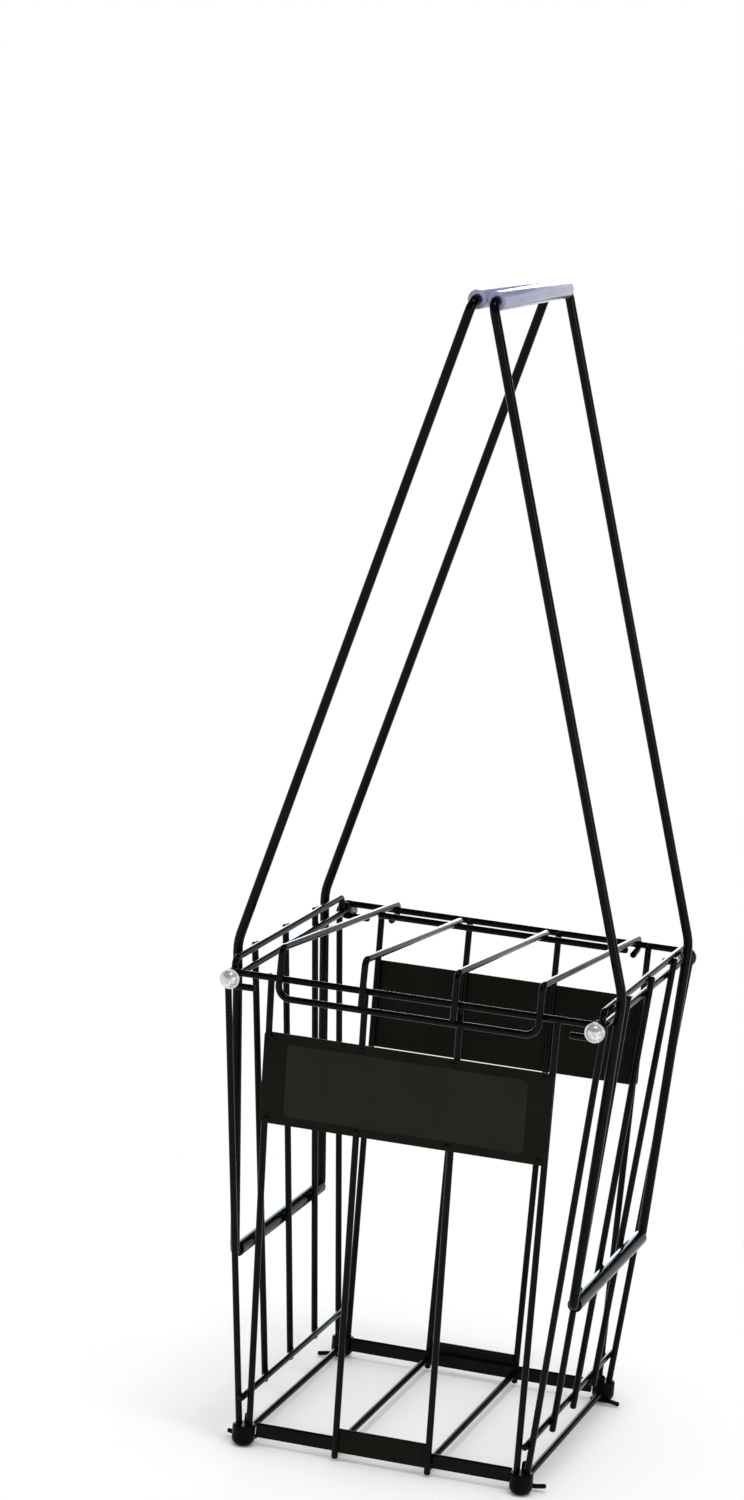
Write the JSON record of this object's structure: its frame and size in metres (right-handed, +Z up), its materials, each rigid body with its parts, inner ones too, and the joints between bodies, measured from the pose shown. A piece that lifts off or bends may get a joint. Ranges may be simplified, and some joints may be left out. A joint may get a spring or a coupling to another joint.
{
  "type": "tennis_ball_pickup_hopper",
  "caption": "Black wire basket for picking up tennis balls, with two long loop handles that fold down as legs and a wire lid on the back rim",
  "frame": {"origin": "on the ground, midway between the four feet", "axes": "+X right, +Y to the back where the lid is hinged, +Z up"},
  "size_m": [0.2928, 0.2975, 0.8534],
  "materials": {
    "black_wire": "gloss black coating on steel wire",
    "zinc_caps": "bright zinc plate, slightly dull",
    "black_feet": "glossy black plastic",
    "sign_board": "matt black board",
    "label_panel": "dark grey satin print panel, bare",
    "clear_grip": "clear flexible tube with a faint blue tint"
  },
  "bodies": {
    "basket": {"front_rim_wire": "black_wire", "back_rim_wire": "black_wire", "front_uprights": "black_wire", "back_uprights": "black_wire", "left_tie_rod": "black_wire", "right_tie_rod": "black_wire", "rod_caps": "zinc_caps", "left_side_top_wire": "black_wire", "right_side_top_wire": "black_wire", "left_side_uprights": "black_wire", "right_side_uprights": "black_wire", "left_corner_wires": "black_wire", "right_corner_wires": "black_wire", "left_side_bottom_wire": "black_wire", "right_side_bottom_wire": "black_wire", "left_hinge_tube": "black_wire", "right_hinge_tube": "black_wire", "front_floor_rail": "black_wire", "back_floor_rail": "black_wire", "front_roller_plate": "black_wire", "back_roller_plate": "black_wire", "left_floor_bar": "black_wire", "right_floor_bar": "black_wire", "leg_catches": "black_wire", "corner_feet": "black_feet", "front_sign_plate": "sign_board", "back_sign_plate": "sign_board", "front_sign_label": "label_panel", "front_sign_rivets": "sign_board", "back_sign_rivets": "sign_board"},
    "left_handle": {"left_handle_rod": "black_wire", "left_grip": "clear_grip"},
    "right_handle": {"right_handle_rod": "black_wire", "right_grip": "clear_grip"},
    "lid": {"lid_outer_wire": "black_wire", "lid_middle_bars": "black_wire", "lid_rear_bar": "black_wire"},
    "left_rolling_bar": {"left_roller": "black_wire"},
    "right_rolling_bar": {"right_roller": "black_wire"}
  },
  "joints": [
    {"name": "left_handle_hinge", "type": "hinge", "parent": "basket", "child": "left_handle", "pos_m": [-0.12805, 0, 0.139], "axis": [0, -1, 0], "range_deg": [0, 183]},
    {"name": "right_handle_hinge", "type": "hinge", "parent": "basket", "child": "right_handle", "pos_m": [0.12805, 0, 0.139], "axis": [0, 1, 0], "range_deg": [0, 183]},
    {"name": "lid_hinge", "type": "hinge", "parent": "basket", "child": "lid", "pos_m": [0, 0.139, 0.3549], "axis": [-1, 0, 0], "range_deg": [0, 68]},
    {"name": "left_bar_roll", "type": "hinge", "parent": "basket", "child": "left_rolling_bar", "pos_m": [-0.03517, 0, 0.0105], "axis": [0, 1, 0], "continuous": true},
    {"name": "right_bar_roll", "type": "hinge", "parent": "basket", "child": "right_rolling_bar", "pos_m": [0.03517, 0, 0.0105], "axis": [0, 1, 0], "continuous": true}
  ]
}
